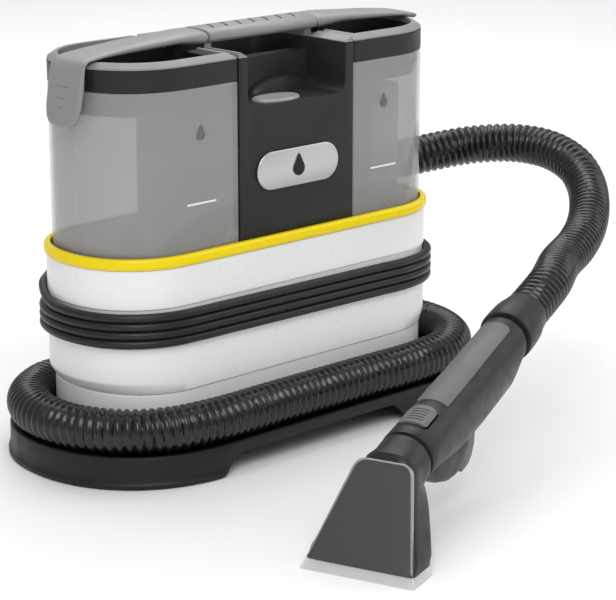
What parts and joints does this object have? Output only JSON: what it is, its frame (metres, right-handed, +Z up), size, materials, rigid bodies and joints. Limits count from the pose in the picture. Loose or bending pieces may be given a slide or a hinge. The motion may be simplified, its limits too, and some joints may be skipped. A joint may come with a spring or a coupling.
{
  "type": "carpet cleaner machine",
  "caption": "Compact spot carpet cleaner: stadium-shaped body with two lift-out tanks, wound mains cord, ribbed suction hose and a hand tool with a wide clear nozzle.",
  "frame": {"origin": "on the floor, under the middle of the box round the machine and its hand tool, hose and cord left out", "axes": "+Z up; the machine's front faces -Y and its long side runs along X, with the fresh water tank on the -X side; the hand tool lies in front"},
  "size_m": [0.5611, 0.4585, 0.3225],
  "materials": {
    "white_shell": "smooth satin-gloss moulded plastic",
    "yellow_trim": "glossy yellow moulded strip",
    "charcoal_plastic": "fine-grained dark grey plastic",
    "black_plastic": "fine-grained black plastic",
    "mid_grey_plastic": "satin mid grey plastic",
    "light_grey_plastic": "satin light grey plastic",
    "smoked_clear": "smoke-tinted clear plastic",
    "clear_plastic": "clear plastic",
    "hose_plastic": "glossy black ribbed hose",
    "cord_sheath": "black flexible cord sheath",
    "black_rubber": "matt black rubber",
    "silver_badge": "brushed silver plate",
    "zinc_steel": "zinc-plated steel",
    "circuit_board": "green lacquered circuit board"
  },
  "bodies": {
    "machine": {"lower_band": "white_shell", "main_housing": "white_shell", "yellow_trim": "yellow_trim", "tank_deck": "charcoal_plastic", "water_pump": "charcoal_plastic", "center_column": "charcoal_plastic", "column_rear_cover": "charcoal_plastic", "hose_port_cuff": "charcoal_plastic", "tool_handle": "charcoal_plastic", "tool_hose_cuff": "charcoal_plastic", "base_tray": "black_plastic", "hose_port": "black_plastic", "power_plug": "black_plastic", "plug_holder": "black_plastic", "carry_grip": "mid_grey_plastic", "tool_grip_inlay": "mid_grey_plastic", "column_rim_rear": "light_grey_plastic", "column_rim_left": "light_grey_plastic", "column_rim_right": "light_grey_plastic", "suction_hose": "hose_plastic", "power_cord_lead": "cord_sheath", "power_cord_wrap": "cord_sheath", "power_cord_tail": "cord_sheath", "foot_front_left": "black_rubber", "foot_front_right": "black_rubber", "foot_rear_left": "black_rubber", "foot_rear_right": "black_rubber", "motor_bracket": "black_rubber", "cord_gland": "black_rubber", "badge_plate": "silver_badge", "suction_motor": "zinc_steel", "cover_screw_1": "zinc_steel", "cover_screw_2": "zinc_steel", "cover_screw_3": "zinc_steel", "cover_screw_4": "zinc_steel", "trigger_pin": "zinc_steel", "control_board": "circuit_board"},
    "power_button": {"power_button": "light_grey_plastic"},
    "motor_fan": {"motor_fan": "charcoal_plastic"},
    "fresh_tank": {"fresh_tank": "smoked_clear"},
    "fresh_lid": {"fresh_lid": "charcoal_plastic", "fresh_lid_rim": "light_grey_plastic", "fresh_lid_seal": "black_rubber", "fresh_arm_pin": "zinc_steel"},
    "fresh_arm": {"fresh_arm": "mid_grey_plastic"},
    "fresh_valve": {"fresh_valve": "charcoal_plastic"},
    "dirty_tank": {"dirty_tank": "smoked_clear", "separator_duct": "clear_plastic"},
    "dirty_lid": {"dirty_lid": "charcoal_plastic", "dirty_lid_rim": "light_grey_plastic", "dirty_lid_seal": "black_rubber", "dirty_arm_pin": "zinc_steel"},
    "dirty_arm": {"dirty_arm": "mid_grey_plastic"},
    "dirty_float": {"dirty_float": "light_grey_plastic"},
    "spray_trigger": {"spray_trigger": "mid_grey_plastic"},
    "latch_button": {"latch_button": "light_grey_plastic"},
    "nozzle": {"nozzle_body": "charcoal_plastic", "nozzle_window": "smoked_clear", "nozzle_lip": "clear_plastic", "spray_jet": "black_plastic"}
  },
  "joints": [
    {"name": "power_button_press", "type": "slide", "parent": "machine", "child": "power_button", "axis": [0, 0, -1], "range_m": [0, 0.003], "stiffness_N_per_m": 400, "springref_m": -0.002},
    {"name": "motor_fan_spin", "type": "hinge", "parent": "machine", "child": "motor_fan", "pos_m": [-0.007, 0.12203, 0.075], "axis": [0, 0, 1], "continuous": true},
    {"name": "fresh_tank_lift", "type": "slide", "parent": "machine", "child": "fresh_tank", "axis": [0, 0, 1], "range_m": [0, 0.16]},
    {"name": "fresh_lid_lift", "type": "slide", "parent": "fresh_tank", "child": "fresh_lid", "axis": [0, 0, 1], "range_m": [0, 0.08]},
    {"name": "fresh_arm_swing", "type": "hinge", "parent": "fresh_lid", "child": "fresh_arm", "pos_m": [-0.067, 0.11603, 0.317], "axis": [0, 1, 0], "range_deg": [0, 75]},
    {"name": "fresh_valve_open", "type": "slide", "parent": "fresh_tank", "child": "fresh_valve", "axis": [0, 0, 1], "range_m": [0, 0.004], "stiffness_N_per_m": 150, "springref_m": -0.004},
    {"name": "dirty_tank_lift", "type": "slide", "parent": "machine", "child": "dirty_tank", "axis": [0, 0, 1], "range_m": [0, 0.16]},
    {"name": "dirty_lid_lift", "type": "slide", "parent": "dirty_tank", "child": "dirty_lid", "axis": [0, 0, 1], "range_m": [0, 0.08]},
    {"name": "dirty_arm_swing", "type": "hinge", "parent": "dirty_lid", "child": "dirty_arm", "pos_m": [0.0644, 0.11603, 0.317], "axis": [0, -1, 0], "range_deg": [0, 75]},
    {"name": "dirty_float_rise", "type": "slide", "parent": "dirty_tank", "child": "dirty_float", "axis": [0, 0, 1], "range_m": [0, 0.06]},
    {"name": "spray_trigger_pull", "type": "hinge", "parent": "machine", "child": "spray_trigger", "pos_m": [-0.01737, -0.12684, 0.05222], "axis": [-0.3338, 0.9426, 0], "range_deg": [0, 8], "stiffness_Nm_per_rad": 0.6, "springref_deg": -5.73},
    {"name": "latch_button_press", "type": "slide", "parent": "machine", "child": "latch_button", "axis": [0.2072, 0.0734, -0.9755], "range_m": [0, 0.0012], "stiffness_N_per_m": 500, "springref_m": -0.001},
    {"name": "nozzle_pull_off", "type": "slide", "parent": "machine", "child": "nozzle", "axis": [-0.9196, -0.3256, -0.2198], "range_m": [0, 0.05]}
  ]
}
